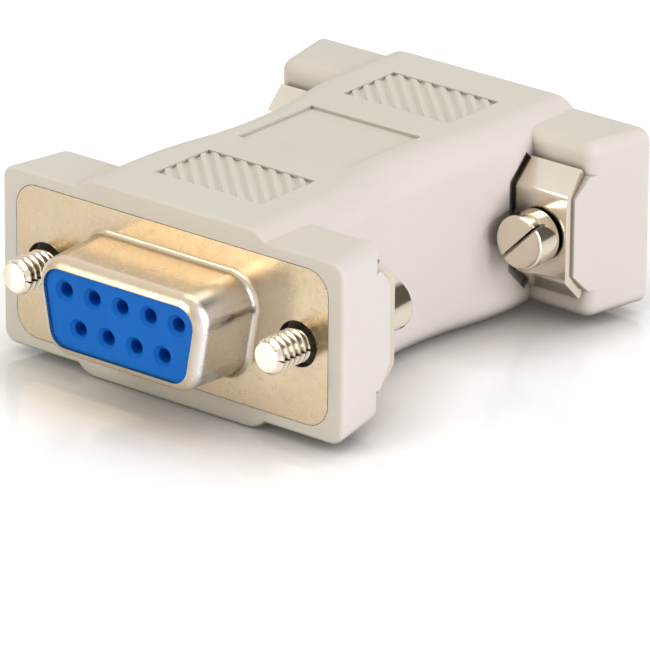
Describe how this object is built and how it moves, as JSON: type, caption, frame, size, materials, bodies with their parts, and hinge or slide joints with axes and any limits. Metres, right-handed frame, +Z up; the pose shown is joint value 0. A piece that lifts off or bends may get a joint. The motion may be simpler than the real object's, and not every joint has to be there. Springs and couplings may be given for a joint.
{
  "type": "vga to d-sub adapter",
  "caption": "Straight moulded adapter with a D-sub socket at one end, a high-density D-sub plug at the other, and captive slotted jackscrews in its wings.",
  "frame": {"origin": "under the middle of the adapter, in the plane of the belly it lies on", "axes": "+Y from the socket end to the plug end, +Z up with the wide sides of both D-shells up, +X across the width"},
  "size_m": [0.0336, 0.0504, 0.0162],
  "materials": {
    "putty_pvc": "soft satin moulded PVC with a fine grain",
    "inner_mould": "plain moulded polyethylene",
    "shell_plating": "satin nickel plate on pressed steel",
    "blue_insulator": "smooth moulded thermoplastic",
    "contact_gold": "thin gold plate on turned brass",
    "wire_cover": "extruded PVC",
    "strap_nickel": "bright nickel plate on bent steel strip",
    "screw_nickel": "bright nickel plate on turned steel"
  },
  "bodies": {
    "adapter": {"housing": "putty_pvc", "inner_mould": "inner_mould", "socket_front_shell": "shell_plating", "socket_rear_shell": "shell_plating", "socket_front_insulator": "blue_insulator", "socket_rear_insulator": "blue_insulator", "plug_front_shell": "shell_plating", "plug_rear_shell": "shell_plating", "plug_front_insulator": "blue_insulator", "plug_rear_insulator": "blue_insulator", "socket_contact_1": "contact_gold", "socket_contact_2": "contact_gold", "socket_contact_3": "contact_gold", "socket_contact_4": "contact_gold", "socket_contact_5": "contact_gold", "socket_contact_6": "contact_gold", "socket_contact_7": "contact_gold", "socket_contact_8": "contact_gold", "socket_contact_9": "contact_gold", "plug_pin_1": "contact_gold", "plug_pin_2": "contact_gold", "plug_pin_3": "contact_gold", "plug_pin_4": "contact_gold", "plug_pin_5": "contact_gold", "plug_pin_6": "contact_gold", "plug_pin_7": "contact_gold", "plug_pin_8": "contact_gold", "plug_pin_9": "contact_gold", "plug_pin_10": "contact_gold", "plug_pin_11": "contact_gold", "plug_pin_12": "contact_gold", "plug_pin_13": "contact_gold", "plug_pin_14": "contact_gold", "plug_pin_15": "contact_gold", "wire_1": "wire_cover", "wire_2": "wire_cover", "wire_3": "wire_cover", "wire_4": "wire_cover", "wire_5": "wire_cover", "wire_6": "wire_cover", "wire_7": "wire_cover", "wire_8": "wire_cover", "wire_9": "wire_cover", "socket_strap_left": "strap_nickel", "socket_strap_right": "strap_nickel", "plug_strap_left": "strap_nickel", "plug_strap_right": "strap_nickel"},
    "socket_jackscrew_left": {"socket_jackscrew_left": "screw_nickel"},
    "socket_jackscrew_right": {"socket_jackscrew_right": "screw_nickel"},
    "plug_jackscrew_left": {"plug_jackscrew_left": "screw_nickel"},
    "plug_jackscrew_right": {"plug_jackscrew_right": "screw_nickel"}
  },
  "joints": [
    {"name": "socket_jackscrew_left_turn", "type": "hinge", "parent": "adapter", "child": "socket_jackscrew_left", "pos_m": [-0.01249, -0.0191, 0.0081], "axis": [0, -1, 0], "continuous": true},
    {"name": "socket_jackscrew_right_turn", "type": "hinge", "parent": "adapter", "child": "socket_jackscrew_right", "pos_m": [0.01249, -0.0191, 0.0081], "axis": [0, -1, 0], "continuous": true},
    {"name": "plug_jackscrew_left_turn", "type": "hinge", "parent": "adapter", "child": "plug_jackscrew_left", "pos_m": [-0.01249, 0.0191, 0.0081], "axis": [0, 1, 0], "continuous": true},
    {"name": "plug_jackscrew_right_turn", "type": "hinge", "parent": "adapter", "child": "plug_jackscrew_right", "pos_m": [0.01249, 0.0191, 0.0081], "axis": [0, 1, 0], "continuous": true}
  ]
}
